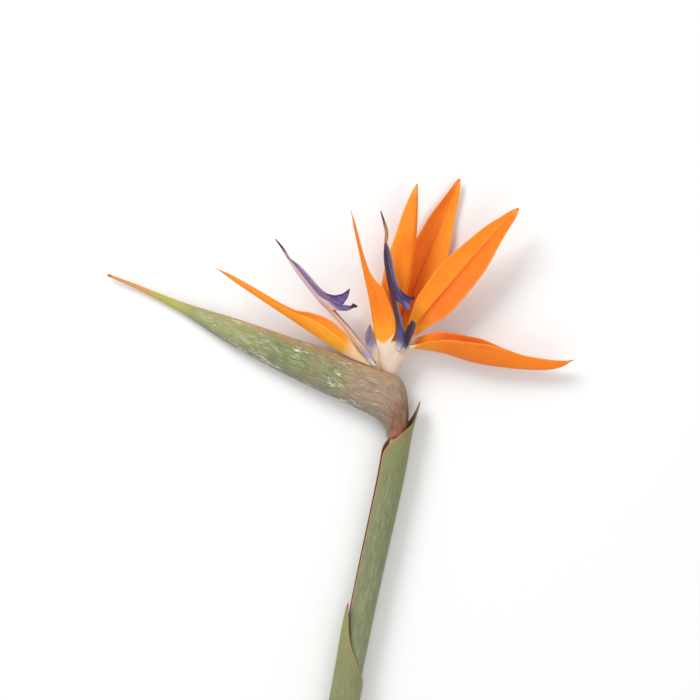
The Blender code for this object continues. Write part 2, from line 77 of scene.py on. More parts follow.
def hermite(shares, values, slopes, share):
    share = np.clip(np.asarray(share, float), shares[0], shares[-1])
    i = np.clip(np.searchsorted(shares, share, side="right") - 1, 0, len(shares) - 2)
    width = shares[i + 1] - shares[i]
    t = (share - shares[i]) / width
    if values.ndim == 2:
        width, t = width[..., None], t[..., None]
    return (
        values[i] * (2 * t**3 - 3 * t**2 + 1)
        + slopes[i] * width * (t**3 - 2 * t**2 + t)
        + values[i + 1] * (3 * t**2 - 2 * t**3)
        + slopes[i + 1] * width * (t**3 - t**2)
    )


def smoothLine(points):
    # a curve through the points, read by the share of its length from 0 to 1
    knots = np.array(points, float)
    gaps = np.linalg.norm(np.diff(knots, axis=0), axis=1)
    shares = np.append(0, np.cumsum(gaps)) / gaps.sum()
    last = len(knots) - 1
    slopes = np.array([
        (knots[min(i + 1, last)] - knots[max(i - 1, 0)]) / (shares[min(i + 1, last)] - shares[max(i - 1, 0)])
        for i in range(last + 1)
    ])
    return lambda share: hermite(shares, knots, slopes, share)


def smoothProfile(pairs):
    # a value that changes smoothly through (share, value) pairs and never overshoots them
    shares, values = (np.array(column, float) for column in zip(*pairs))
    rises = np.diff(values) / np.diff(shares)
    slopes = np.zeros(len(values))
    slopes[0], slopes[-1] = rises[0], rises[-1]
    for i in range(1, len(values) - 1):
        if rises[i - 1] * rises[i] > 0:
            slopes[i] = 2 * rises[i - 1] * rises[i] / (rises[i - 1] + rises[i])
    return lambda share: hermite(shares, values, slopes, share)


def unit(vectors):
    return vectors / np.maximum(np.linalg.norm(vectors, axis=-1, keepdims=True), 1e-9)


def framesAlong(path, share, opening):
    # the line's points, its directions, the directions that the fold opens to, and the sideways ones
    near = 0.004
    forward = unit(path(np.minimum(share + near, 1)) - path(np.maximum(share - near, 0)))
    wanted = np.array(opening[0]) * (1 - share)[:, None] + np.array(opening[1]) * share[:, None]
    opens = unit(wanted - forward * (wanted * forward).sum(1, keepdims=True))
    return path(share), forward, opens, np.cross(forward, opens)


# Meshes

def addObject(name, data):
    added = bpy.data.objects.new(name, data)
    bpy.context.scene.collection.objects.link(added)
    return added


def newPiece(name, vertices, faces, marks, replaced):
    mesh = bpy.data.meshes.new(name)
    places = np.asarray(vertices) * mm + np.array(throat)
    mesh.from_pydata(places.tolist(), [], faces)
    mesh.validate()
    for mark, values in marks.items():
        layer = mesh.attributes.new(mark, "FLOAT", "POINT")
        layer.data.foreach_set("value", np.asarray(values, np.float32).ravel())
    mesh.shade_smooth()
    piece = addObject(name, mesh)
    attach(piece, "root")
    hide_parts(replaced)
    return piece


def faceDirections(points):
    return unit(np.cross(np.gradient(points, axis=0), np.gradient(points, axis=1)))


def sheetPiece(name, points, thick, lean, marks):
    # a closed thin body: two skins over one grid of points, joined all round the rim
    rows, columns = points.shape[:2]
    normal = faceDirections(points)
    front = points + normal * (thick * (1 + lean) / 2)[..., None]
    back = points - normal * (thick * (1 - lean) / 2)[..., None]
    count = rows * columns
    index = np.arange(count).reshape(rows, columns)
    quads = np.stack([index[:-1, :-1], index[1:, :-1], index[1:, 1:], index[:-1, 1:]], axis=-1).reshape(-1, 4)
    rim = np.concatenate([index[:, 0], index[-1, 1:], index[-2::-1, -1], index[0, -2:0:-1]])
    after = np.roll(rim, -1)
    side = np.stack([after, rim, rim + count, after + count], axis=-1)
    faces = np.concatenate([quads, quads[:, ::-1] + count, side])
    doubled = {
        mark: np.tile(np.broadcast_to(values, (rows, columns)).ravel(), 2) for mark, values in marks.items()
    }
    doubled["skin"] = np.repeat([0.0, 1.0], count)
    vertices = np.concatenate([front.reshape(-1, 3), back.reshape(-1, 3)])
    return newPiece(name, vertices, faces.tolist(), doubled, name)


def bladePiece(name, shape):
    # a sepal or petal: folded along its spine like a boat, thick at the midrib and thin at the margins
    rows, columns = shape["grid"]
    along = smoothProfile(shape["spacing"])(np.linspace(0, 1, rows + 1))
    width, slope, cup = (smoothProfile(shape[key])(along)[:, None] for key in ("widths", "folds", "cup"))
    farWidth = smoothProfile(shape.get("farWidths", shape["widths"]))(along)[:, None]
    left, right = shape.get("sides", (1, 1))
    turn = np.linspace(-1, 1, columns + 1)
    across = np.sign(turn) * (0.55 * abs(turn) + 0.45 * np.sin(abs(turn) * math.pi / 2))
    side, edge, near = np.sign(across), abs(across), (across < 0)[None, :]
    frames = framesAlong(smoothLine(shape["spine"]), along, shape["opens"])
    centre, forward, opens, sideways = (part[:, None, :] for part in frames)
    reach = np.where(near, width * left, farWidth * right)
    half = reach * edge

    # each half is an arc that starts at the fold's angle and curls by the cup's
    curl, fold = np.radians(cup), np.radians(slope)
    start, bow = fold + curl, fold + curl * (1 - 2 * edge)
    even = 2 * np.sin(curl)
    rise, spread = (np.sin(start) - np.sin(bow)) / even, (np.cos(bow) - np.cos(start)) / even
    crease = 0.9  # how far the fold is rounded
    rounding = (np.hypot(half, crease) - crease) / np.maximum(half, 1e-6)
    wave = np.sin(along[:, None] * 19 + 1.7 * side + len(name)) * shape["frill"]  # each blade has its own
    wave = wave * edge**3 * np.clip(reach / 8, 0, 1)
    points = centre + opens * (rise * reach * rounding + wave * 0.5)[..., None]
    points = points + sideways * ((spread * reach + wave) * side)[..., None]

    knob = 0
    for onSide, barb in zip((near, ~near), shape.get("barbs", [])):
        reaches, *bends = zip(*barb["bends"])
        swept, out, lift = (smoothProfile(zip(reaches, bend))(half)[..., None] for bend in bends)
        moved = unit(opens * (1, 1, 0)) * out - forward * swept + up * lift
        if "knobAt" in barb:
            past = half - barb["knobAt"]
            swell = 0.6 * np.exp(-(((past - 2.2) / 0.9) ** 2)) - 0.25 * np.exp(-((past / 1.2) ** 2))
            fromPeak = (along - shape["barbAt"])[:, None] * shape["length"]
            moved = moved + forward * (swell * fromPeak)[..., None]
            knob = np.clip((past - 0.6) / 0.8, 0, 1) * onSide * (1 - edge**8) * barb["knob"]
        points = points + moved * onSide[..., None]

    ribs = np.cos(2 * math.pi * shape["ribs"] * edge)
    vein = 0.045 * np.clip(reach / 6, 0, 1) * (1 - edge**6) * ribs
    midrib = 1 + 0.3 * np.exp(-((half / 1.1) ** 2))
    wall = shape["wall"] * (0.28 + 0.72 * np.sqrt(np.clip(1 - edge**2.6, 0, 1))) * midrib
    thick = (wall + vein + knob) * np.clip((1 - along[:, None]) * 9, 0.35, 1)
    marks = {"along": along[:, None], "across": across, "reach": half}
    return sheetPiece(name, points, thick, 0.0, marks)


# Materials

class Wire:  # one output socket: sums on it add Math nodes
    def __init__(self, finish, socket):
        self.finish, self.socket = finish, socket

    def maths(self, operation, *values):
        return self.finish.add("ShaderNodeMath", {"operation": operation}, dict(enumerate(values)))

    def __add__(self, other):
        return self.maths("ADD", self, other)

    def __sub__(self, other):
        return self.maths("SUBTRACT", self, other)

    def __rsub__(self, other):
        return self.maths("SUBTRACT", other, self)

    def __mul__(self, other):
        return self.maths("MULTIPLY", self, other)

    def __abs__(self):
        return self.maths("ABSOLUTE", self)

    __radd__ = __add__
    __rmul__ = __mul__

    def wave(self):
        return self.maths("SINE", self)

    def step(self, low, high):  # 0 below low, 1 above high, smooth between; low may be the greater
        sockets = {0: self, 1: low, 2: high, 3: 0.0, 4: 1.0}
        return self.finish.add("ShaderNodeMapRange", {"interpolation_type": "SMOOTHSTEP"}, sockets)

    def ragged(self, noise, amount):  # the same value, pushed to and fro by a noise
        return self + (noise - 0.5) * amount


class Finish:  # a material, and the one way that nodes are added to it
    def __init__(self, name, hues, **constants):
        self.hues, self.colour = hues, None
        self.material = bpy.data.materials.new(name)
        self.material.use_nodes = True
        self.tree = self.material.node_tree
        self.shader = self.tree.nodes["Principled BSDF"]
        for socket, value in constants.items():
            self.shader.inputs[socket.replace("_", " ")].default_value = value

    def plug(self, socket, value):  # a number, a wire, a colour's name, or a tuple with wires in it
        if isinstance(value, str):
            value = self.hues[value]
        if isinstance(value, tuple) and any(isinstance(part, Wire) for part in value):
            value = self.add("ShaderNodeCombineXYZ", sockets=dict(enumerate(value)))
        if isinstance(value, Wire):
            self.tree.links.new(value.socket, socket)
        else:
            socket.default_value = value

    def add(self, kind, settings=None, sockets=None, output=0):
        node = self.tree.nodes.new(kind)
        for key, value in (settings or {}).items():
            setattr(node, key, value)
        for key, value in (sockets or {}).items():
            self.plug(node.inputs[key], value)
        return Wire(self, node.outputs[output])

    def marks(self, *names):
        return [self.add("ShaderNodeAttribute", {"attribute_name": name}, output=2) for name in names]

    def place(self):
        return self.add("ShaderNodeTexCoord", output=3)

    def noise(self, place, scale, detail=3.0, rough=0.5, twist=0.0):
        sockets = {"Vector": place, "Scale": scale, "Detail": detail, "Roughness": rough, "Distortion": twist}
        return self.add("ShaderNodeTexNoise", sockets=sockets)

    def spots(self, place, scale):
        return self.add("ShaderNodeTexVoronoi", sockets={"Vector": place, "Scale": scale})

    def blend(self, share, first, second):
        return self.add("ShaderNodeMix", {"data_type": "RGBA"}, {0: share, 6: first, 7: second}, output=2)

    def lay(self, share, colour):  # a layer over the colour so far
        self.colour = self.blend(share, self.colour, colour)

    def coat(self, roughness, height=None, depth=0.0003, strength=0.6):
        self.plug(self.shader.inputs["Base Color"], self.colour)
        self.plug(self.shader.inputs["Roughness"], roughness)
        if height is not None:
            sockets = {"Strength": strength, "Distance": depth, "Height": height}
            self.plug(self.shader.inputs["Normal"], self.add("ShaderNodeBump", sockets=sockets))
        return self.material


def paints(**codes):
    # named colours: six-figure codes turned into light values
    def light(pair):
        share = int(pair, 16) / 255
        return share / 12.92 if share < 0.04045 else ((share + 0.055) / 1.055) ** 2.4

    return {name: (light(code[:2]), light(code[2:4]), light(code[4:]), 1.0) for name, code in codes.items()}


# The sepals: each spine from foot to tip, the way that the fold opens at both ends, and by the share of the
# length half the width and the fold's slope. Deep is the painted shade, a darker orange, on the left and the
# right side; crease is the painted shade along the fold.

sepals = {
    "floret_1_left_sepal": {
        "spine": [(-9, 3, 12.6), (-15, 6.2, 14), (-27, 12.8, 16), (-42, 22.4, 17.2), (-60, 34.4, 18.8),
                  (-78, 46.4, 20.4), (-101, 62, 22.5)],
        "opens": [(0.5, 0.72, 0.48), (0.52, 0.8, 0.15)],
        "widths": [(0, 2.8), (0.08, 5), (0.2, 11), (0.33, 12.8), (0.43, 10.8), (0.52, 6.6), (0.62, 4.9),
                   (0.8, 4), (0.93, 2.3), (1, 0.3)],
        "folds": [(0, 38), (0.2, 32), (0.5, 28), (1, 24)],
        "look": {"cream": 0.1, "yellow": 0.19, "glow": 0.95, "crease": 0.2, "rim": 0.5,
                 "deep": (0.05, 0.25), "seed": 1.3},
    },
    "floret_1_middle_sepal": {
        "spine": [(-1.9, 1, 11.4), (-3.7, 7.5, 11.2), (-5, 14, 9.8), (-4, 20.5, 8.5), (0.2, 28.5, 8.4),
                  (5.8, 36.5, 9.8), (10, 43, 11.8), (13.4, 55.2, 14.8), (15.8, 70.2, 17), (17.6, 88.2, 18.2),
                  (18.6, 103.2, 18.6), (19.2, 112.2, 18)],
        "opens": [(-0.75, 0.1, -0.65), (-0.42, 0, -0.9)],
        "widths": [(0, 3.6), (0.1, 5.4), (0.2, 7.4), (0.36, 13), (0.5, 15), (0.62, 14.4), (0.78, 10.4),
                   (0.9, 6), (0.97, 3), (1, 0.8)],
        "folds": [(0, 55), (0.25, 50), (0.5, 46), (1, 42)],
        "sides": (0.5, 1),
        "look": {"cream": 0.2, "yellow": 0.27, "glow": 0.3, "crease": 0.2, "rim": 0.5,
                 "deep": (0.4, 0.35), "seed": 4.1},
    },
    "floret_1_back_sepal": {
        "spine": [(-3.6, 1.8, 6.6), (-1.6, 8, 4.6), (2.6, 18, 2.6), (8.8, 32, 1.2), (16, 46.2, 0.6),
                  (21.8, 60.2, 0.5), (28, 75.2, 0.5), (35.2, 93.2, 0.9), (41.2, 107, 2.2), (45, 116.4, 3.8)],
        "opens": [(-0.1, 0.1, 1), (0.1, 0, 1)],
        "widths": [(0, 2.6), (0.12, 4), (0.25, 8.5), (0.42, 12.6), (0.56, 12.6), (0.72, 10), (0.86, 6),
                   (0.95, 3.1), (0.98, 1.9), (1, 0.6)],
        "folds": [(0, 62), (0.2, 72), (0.5, 70), (1, 60)],
        "look": {"cream": 0.08, "yellow": 0.14, "glow": 0.2, "crease": 0.9, "rim": 0.3,
                 "deep": (0.95, 0), "seed": 7.7},
    },
    "floret_2_left_sepal": {
        "spine": [(-3.4, 13.4, 13.4), (-4.5, 17.2, 14.6), (-5.6, 22.6, 16.2), (-7, 31.2, 18),
                  (-9, 43.2, 20.2), (-11.6, 55.2, 22.4), (-14.2, 67.2, 24.4), (-16.8, 79.2, 27.6),
                  (-19.2, 90.2, 31), (-20.3, 95.2, 33)],
        "opens": [(1, 0.22, -0.1), (1, 0.2, -0.06)],
        "widths": [(0, 7.6), (0.05, 9.6), (0.11, 12.6), (0.2, 14.2), (0.32, 12.6), (0.42, 10.6), (0.48, 7),
                   (0.56, 4.2), (0.75, 2.4), (0.93, 1.5), (1, 0.3)],
        "folds": [(0, 17), (0.3, 18), (0.6, 22), (1, 25)],
        "look": {"cream": 0.035, "yellow": 0.085, "glow": 0.5, "scoop": 0.05, "crease": 0.2, "rim": 0.3,
                 "deep": (0.5, 0.4), "seed": 2.6},
    },
    "floret_2_back_sepal": {
        "spine": [(9.6, 15.8, 11.4), (13.4, 20.8, 9.8), (18.4, 27.4, 9.6), (26.2, 37.4, 10.6),
                  (38.4, 51.6, 13), (47, 61.8, 15), (55.6, 72, 17), (68, 85.8, 20.2), (79.4, 97.6, 23)],
        "opens": [(-0.1, 0.1, 1), (-0.05, 0.05, 1)],
        "widths": [(0, 2.4), (0.08, 4.2), (0.17, 7.4), (0.3, 12.4), (0.45, 13.6), (0.6, 12.4), (0.76, 9),
                   (0.9, 4.9), (0.965, 2.9), (1, 0.7)],
        "folds": [(0, 62), (0.2, 68), (0.5, 70), (1, 62)],
        "sides": (0.9, 0.95),
        "look": {"cream": 0.04, "yellow": 0.1, "glow": 0.45, "crease": 1, "rim": 0.3,
                 "deep": (0.1, 0.85), "seed": 9.2},
    },
    "floret_2_right_sepal": {
        "spine": [(14.4, 14.6, 13.6), (21, 14.2, 13.8), (29, 13, 14), (38, 11, 14), (47, 8, 13.8),
                  (56, 5.6, 13.4), (76, 2.8, 12.2), (96, 1.8, 10.8), (106, 3.4, 10.6), (113.6, 7.4, 10.6)],
        "opens": [(-0.1, 0.86, 0.5), (0, 0.95, -0.3)],
        "widths": [(0, 4.6), (0.05, 7.2), (0.14, 11.6), (0.28, 14.6), (0.4, 15.8), (0.52, 14), (0.66, 9.8),
                   (0.8, 7.4), (0.92, 4.2), (1, 0.3)],
        "folds": [(0, 42), (0.25, 29), (0.6, 27), (1, 22)],
        "look": {"cream": 0, "yellow": 0.04, "glow": 0.1, "crease": 0.3, "rim": 0.3,
                 "deep": (1.6, 0.6), "seed": 5.4},
    },
}
evenCup = {"cup": [(0, 1), (0.12, 4), (0.3, 16), (0.8, 14), (1, 6)], "spacing": [(0, 0), (1, 1)]}
sepalBuild = {"grid": (120, 44), "wall": 0.9, "frill": 0.3, "ribs": 7, **evenCup}
# deep colours the painted shade and the darker streaks, crease the painted shade along the fold, rim the painted
# highlight on the margins and the lighter band before the tip
sepalPaint = paints(
    cream="ffe6bc", yellow="ffb52e", orange="ff9420", deep="e2620c", crease="c04208", rim="ffb25c",
    tip="c8641e",
)


def sepalFinish(name, shape):
    look = shape["look"]
    finish = Finish(
        name + "_orange", sepalPaint, Specular_IOR_Level=0.22,
        Subsurface_Weight=0.18, Subsurface_Radius=(1, 0.30, 0.04), Subsurface_Scale=0.0014,
    )
    along, across, skin, reach = finish.marks("along", "across", "skin", "reach")
    edge, seed = abs(across), look["seed"]
    streak = finish.noise((across * 9, along * 1.6, seed), 3.2, 4, 0.6)
    fibre = finish.noise((across * 34, along * 2.2, seed + 3), 3, 2)
    cloud = finish.noise((across * 1.3, along * 4, seed + 9), 1.6)
    scoop = ((edge * math.pi).wave() - 0.5) * look.get("scoop", 0)
    wander = along.ragged(streak, 0.07) - edge * 0.02 + scoop
    yellow, orange = look["yellow"], look["yellow"] + 0.3
    ripe = wander.step(yellow, orange) * 0.7 + (0.1 + (1 - look["glow"]) * 0.6)
    finish.colour = finish.blend(ripe, "yellow", "orange")
    # painted shade: a darker orange over the left and the right half by the look's amounts, less at the foot and
    # towards the tip
    left, right = look["deep"]
    shade = across.step(0.06, -0.06) * left + across.step(-0.06, 0.06) * right
    shade = shade * (along.step(0.1, 0.3) * 0.7 + 0.3) * (1.2 - along * 0.6)
    finish.lay(shade * (cloud * 0.5 + 0.6), "deep")
    bands = ((streak - 0.45) * 1.6 + (cloud - 0.5) * 1.4).step(0, 1)
    finish.lay(bands * along.step(0.1, 0.4), "deep")
    finish.lay(fibre.step(0.52, 0.7) * 0.3, "deep")
    finish.lay(((0.5 - streak) * 1.5).step(0.1, 0.6) * 0.3, "yellow")
    finish.colour = finish.blend(wander.step(look["cream"], yellow), "cream", finish.colour)
    # painted highlight: a lighter orange along the margins
    finish.lay(edge.step(0.88, 0.99) * look["rim"] * along.step(0.05, 0.2), "rim")
    # painted shade along the fold: darkest at the crease, with more on the right half beside it
    soft = reach.ragged(cloud, 1.2)
    rightShade = across.step(0, 0.01) * soft.step(5.5, 0.5) * 0.35
    crease = soft.step(2, 0) * 0.45 + reach.step(0.8, 0.1) * 0.45 + rightShade
    finish.lay(crease * along.step(look["cream"], 0.3) * (1.15 - along) * look["crease"], "crease")
    finish.lay(along.step(0.93, 0.98) * 0.5, "rim")
    finish.lay(along.step(0.984, 1) * 0.6, "tip")
    finish.lay(skin * 0.12, "orange")
    veins = (across * 60).wave() * 0.5 + fibre
    grain = finish.noise(finish.place(), 900, 2)
    return finish.coat(0.42 + streak * 0.12 + grain * 0.08, veins * 0.8 + grain * 0.25, 0.00012, 0.7)


# The arrows, each of two petals fused along the fold, and the short petals. A look's knob has its side, the
# reach at which it starts, and how light the other barb's end is.

arrows = {
    "floret_1_arrow_petals": {
        "spine": [(-6.9, 3.6, 15.1), (-11.6, 9.6, 16.8), (-17.2, 17, 18.6), (-22.8, 24.4, 19.6),
                  (-30.2, 32.9, 21.2), (-37.8, 40.6, 22.6), (-45.2, 49.6, 23.8), (-52.6, 59.4, 25),
                  (-59.2, 69.2, 26.2)],
        "opens": [(0.72, 0.5, 0.4), (0.7, 0.58, 0.35)],
        "widths": [(0, 3.4), (0.12, 5.2), (0.28, 4.2), (0.46, 3.8), (0.497, 4.4), (0.504, 7.5),
                   (0.513, 10.5), (0.519, 12.7), (0.527, 16.2), (0.531, 17), (0.549, 17), (0.555, 16),
                   (0.567, 13.2), (0.582, 10.4), (0.594, 8), (0.615, 6), (0.66, 4.8), (0.8, 4.3), (0.9, 3.4),
                   (0.96, 2.2), (1, 0.5)],
        "farWidths": [(0, 3.4), (0.12, 5.2), (0.28, 4), (0.46, 3.6), (0.497, 4.4), (0.502, 6.5),
                      (0.513, 10.8), (0.519, 13.6), (0.526, 16.4), (0.532, 19.2), (0.541, 18.6), (0.564, 16),
                      (0.59, 12.4), (0.614, 9.6), (0.65, 7), (0.72, 6), (0.8, 5.6), (0.9, 4.2), (0.96, 2.3),
                      (1, 0.5)],
        "folds": [(0, 30), (0.44, 26), (0.5, 30), (0.58, 32), (0.7, 30), (1, 25)],
        # each barb by its reach from the fold: how far it sweeps back, out and up
        "barbs": [
            {"bends": [(0, 0, 0, 0), (4.4, 0, 0, 0), (7.5, 4.1, 1.6, -1.4), (10.5, 7.4, 2.9, -3),
                       (12.7, 8.5, 3.7, -4.2), (16.8, 10.4, 5, -6.2)],
             "knobAt": 14.2, "knob": 2.4},
            {"bends": [(0, 0, 0, 0), (4.4, 0, 0, 0), (6.5, 2.2, 0, 0.2), (10.8, 4, 0, 0.8),
                       (13.6, 4, 0, 1.2), (16.4, 3.4, 0, 1.7), (19.2, 2.1, 0, 2.2)]},
        ],
        "barbAt": 0.532, "length": 94,
        "spacing": [(0, 0), (0.25, 0.46), (0.75, 0.61), (1, 1)],
        "cup": [(0, 2), (0.3, 14), (0.48, 10), (0.53, 5), (0.62, 14), (0.8, 22), (1, 10)],
        "paints": paints(shaft="eccba6", blush="cf9f7a", head="e0c6bf", headBlush="bb9cae", violet="ad92bc",
                         dark="412a58", rim="b7a3c4", base="b6a5b9", foot="ece5e6", wing="8f70ac",
                         barb="583a78", ridge="f0e6d6", knob="33192b"),
        "look": {"knob": (-1, 12.6, 0), "paleUpTo": (0.44, 0.56), "baseUpTo": (0.2, 0.1),
                 "footUpTo": (0.1, 0.02), "rimFrom": (0.72, 0.95), "seed": 3.1},
    },
    "floret_2_arrow_petals": {
        "spine": [(6.9, 13.6, 17.4), (7.2, 22.2, 20.2), (6.6, 30.2, 22), (4.9, 39.2, 23), (2.9, 48.2, 24),
                  (0.8, 58.2, 25.2), (-0.5, 68.2, 26.8), (-0.4, 78.6, 28.8)],
        "opens": [(1, 0.06, 0.42), (1, 0.1, 0.4)],
        "widths": [(0, 3.8), (0.12, 4.8), (0.3, 4.2), (0.43, 3.8), (0.463, 4), (0.467, 4.9), (0.473, 7.1),
                   (0.481, 9.3), (0.487, 10.9), (0.494, 12), (0.52, 12), (0.545, 11.4), (0.568, 9.6),
                   (0.585, 7), (0.61, 5.2), (0.72, 4.5), (0.85, 4), (0.96, 2.2), (1, 0.5)],
        "farWidths": [(0, 3.6), (0.12, 4.8), (0.3, 4.2), (0.43, 3.6), (0.457, 4), (0.464, 6), (0.474, 10),
                      (0.481, 12), (0.487, 14.3), (0.503, 14.3), (0.51, 13.1), (0.525, 12.2), (0.553, 9.8),
                      (0.575, 7.8), (0.605, 6.4), (0.65, 5.8), (0.75, 5.6), (0.85, 5), (0.96, 2.5), (1, 0.5)],
        "folds": [(0, 28), (0.44, 26), (0.5, 32), (0.56, 34), (0.7, 30), (1, 25)],
        "barbs": [
            {"bends": [(0, 0, 0, 0), (4, 0, 0, 0), (4.9, 1.5, 0.4, -0.3), (7.1, 4.4, 1.3, -1.2),
                       (9.3, 7.8, 2.2, -2.2), (10.9, 9, 2.9, -3), (12, 8.2, 3.4, -3.6)]},
            {"bends": [(0, 0, 0, 0), (4, 0, 0, 0), (6, 3.2, 0, 0.2), (10, 5.8, 0, 0.8), (12, 5.2, 0, 1.1),
                       (14.2, 4.2, 0, 1.5)],
             "knobAt": 12.2, "knob": 2.4},
        ],
        "barbAt": 0.49, "length": 64.5,
        "spacing": [(0, 0), (0.25, 0.43), (0.75, 0.6), (1, 1)],
        "cup": [(0, 2), (0.3, 14), (0.45, 10), (0.5, 5), (0.57, 14), (0.8, 22), (1, 10)],
        "paints": paints(shaft="553a48", blush="3f2a3e", head="482f41", headBlush="34213a", violet="8880b8",
                         dark="231833", rim="9a92ca", base="4d5080", foot="cfc4cf", wing="6f67a6",
                         barb="3c3470", ridge="4a3848", knob="33192b"),
        "look": {"knob": (1, 10.4, 0.9), "paleUpTo": (0, 0.02), "baseUpTo": (0.26, 0.14),
                 "footUpTo": (0.12, 0), "rimFrom": (0.72, 0.95), "seed": 6.3},
    },
}

shortPetals = {
    "floret_1_short_petal": {
        "spine": [(-5.2, 3.6, 11.9), (-7.8, 10, 11.5), (-10.4, 16.2, 11.4), (-11.2, 22.4, 12),
                  (-9, 28.6, 12.8)],
        "opens": [(0.7, 0.2, 0.7), (0.85, -0.2, 0.5)],
        "widths": [(0, 2), (0.2, 3.8), (0.45, 5.8), (0.7, 5.4), (0.9, 2.8), (1, 0.5)],
        "folds": [(0, 40), (0.5, 40), (1, 36)],
        "paints": paints(shaft="8d7a98", blush="6c5678", violet="c3b6cb", dark="8a779a", rim="3d2d4c",
                         base="e0d7e3", foot="fbf7f6", wing="a897b4", barb="76598a", ridge="5a4668"),
        "look": {"paleUpTo": (0, 0.02), "baseUpTo": (0.65, 0.3), "footUpTo": (0.5, 0.1),
                 "rimFrom": (0, 0.3), "rimSide": -1, "seed": 1.9},
    },
    "floret_2_short_petal": {
        "spine": [(12, 13.6, 15.6), (13.8, 19, 16.6), (16, 24.4, 17.6), (17, 28.2, 18), (16.2, 30.8, 18.2)],
        "opens": [(-0.35, 0.2, 0.9), (-0.3, 0.1, 0.9)],
        "widths": [(0, 2), (0.2, 3.6), (0.5, 4.7), (0.8, 4.3), (0.95, 2.6), (1, 1.1)],
        "sides": (1, 0.75),
        "folds": [(0, 38), (0.5, 36), (1, 36)],
        "paints": paints(shaft="5c4a70", blush="4c3a5c", violet="58363f", dark="321c25", rim="5f5b90",
                         base="645e8e", foot="b9a6b6", wing="6b4048", barb="4a4080", ridge="8a7490"),
        "look": {"paleUpTo": (0, 0.02), "baseUpTo": (0.3, 0.1), "footUpTo": (0.12, 0),
                 "rimFrom": (0, 0.25), "rimSide": 1, "seed": 8.8},
    },
}
arrowBuild = {"grid": (210, 48), "wall": 0.75, "frill": 0.12, "ribs": 5}
petalBuild = {"grid": (60, 28), "wall": 0.7, "frill": 0.2, "ribs": 4, **evenCup}


def blueFinish(name, shape):
    look, hues = shape["look"], shape["paints"]
    hues = {"head": hues["shaft"], "headBlush": hues["blush"], "knob": hues["dark"], **hues}
    finish = Finish(
        name + "_violet", hues, Specular_IOR_Level=0.36, Sheen_Weight=0.03, Sheen_Roughness=0.4,
        Subsurface_Weight=0.10, Subsurface_Radius=(0.5, 0.3, 0.8), Subsurface_Scale=0.001,
    )
    along, across, skin, reach = finish.marks("along", "across", "skin", "reach")
    edge, seed = abs(across), look["seed"]
    streak = finish.noise((across * 7, along * 2.4, seed), 3, 4, 0.6)
    fibre = finish.noise((across * 26, along * 3.5, seed + 2), 3, 2)
    cloud = finish.noise(finish.place(), 160)
    line = (streak * 0.7 + fibre * 0.5).step(0.48, 0.68)
    below = finish.blend(line * 0.75, "shaft", "blush")
    above = finish.blend(line * 0.7, "head", "headBlush")
    outside = finish.blend(along.ragged(streak, 0.08).step(0.48, 0.6), below, above)
    # painted shadow: a dark line along the near half's edge, in the slit between the two halves
    outside = finish.blend(edge.step(0.84, 0.97) * along.step(0.44, 0.6) * 0.8, outside, "dark")
    inside = finish.blend((streak * 0.8 + cloud * 0.4 - 0.3).step(0, 0.7), "violet", "dark")
    inside = finish.blend(along.ragged(streak, 0.12).step(*look["paleUpTo"]), below, inside)
    margin = across * look["rimSide"] if "rimSide" in look else edge
    inside = finish.blend(margin.step(*look["rimFrom"]) * 0.8, inside, "rim")
    finish.colour = finish.blend(skin, outside, inside)

    # the barbs, with a dark knob at one end
    knobSide, knobReach, nearTip = look.get("knob", (1, 50, 0))
    flow = finish.noise((reach * 0.25, along * 9, seed + 5), 2)
    wing = finish.blend((flow * 0.7 + edge * 0.5).step(0.45, 1), "wing", "barb")
    wing = finish.blend(reach.ragged(flow, 4).step(6, 9) * (0.25 + 0.4 * nearTip), wing, "dark")
    lightTip = reach.step(8.6, 10.4) * (across * -knobSide).step(0, 0.02) * nearTip
    barbed = reach.step(5.6, 8)
    finish.lay(barbed, finish.blend(lightTip, wing, "wing"))
    finish.lay(barbed * edge.step(0.78, 1) * (1 - lightTip) * 0.8, "dark")
    knob = reach.step(knobReach, knobReach + 2.2) * (across * knobSide).step(0, 0.02)
    finish.lay(knob, "knob")

    finish.lay(along.ragged(streak, 0.06).step(*look["baseUpTo"]), "base")
    finish.lay(along.ragged(streak, 0.06).step(*look["footUpTo"]), "foot")
    finish.lay(along.step(0.93, 1) * 0.6, "dark")
    finish.lay(fibre.step(0.52, 0.72) * 0.3, "dark")
    finish.lay(reach.step(0.9, 0.2) * (1 - skin) * 0.45, "ridge")
    grain = finish.noise(finish.place(), 1200, 2)
    return finish.coat(0.34 + streak * 0.16, fibre * 0.7 + grain * 0.3, 0.00010, 0.7)


def makeBlades(kind, blades, build, finish):
    for name, shape in blades.items():
        piece = bladePiece(name, {**build, **shape})
        piece.data.materials.append(finish(name, shape))
    print(kind, "made:", len(blades))


# The styles

styles = {
    "floret_1_style": {"arrow": "floret_1_arrow_petals", "end": [(-61.2, 73.8, 27.6), (-65.2, 79, 28.4)],
                       "swell": [(0, 1), (0.82, 1), (0.9, 1.5), (0.96, 1.1), (1, 0.5)],
                       "paints": paints(low="a5847c", high="3f2a2e"), "turns": (0.88, 0.95)},
    "floret_2_style": {"arrow": "floret_2_arrow_petals",
                       "end": [(0.6, 83, 30.6), (-0.7, 88.4, 31.6), (-2.8, 95.4, 33)],
                       "swell": [(0, 1), (0.72, 1), (0.82, 2), (0.88, 1.8), (0.94, 1.2), (1, 0.6)],
                       "paints": paints(low="b37d5c", high="54362f"), "turns": (0.84, 0.96)},
}
styleLie = 2.3  # from the arrow's fold to the style in its groove
styleRadius = 0.55


def tubeFaces(count, sides):
    # quads from ring to ring, and a fan of triangles round the middle point of each end
    index = np.arange(count * sides).reshape(count, sides)
    after = np.roll(index, -1, axis=1)
    quads = np.stack([index[:-1], index[1:], after[1:], after[:-1]], axis=-1).reshape(-1, 4).tolist()
    startPoint, endPoint = count * sides, count * sides + 1
    fans = [(int(a), int(b), startPoint) for a, b in zip(index[0], after[0])]
    fans += [(int(b), int(a), endPoint) for a, b in zip(index[-1], after[-1])]
    return quads + fans


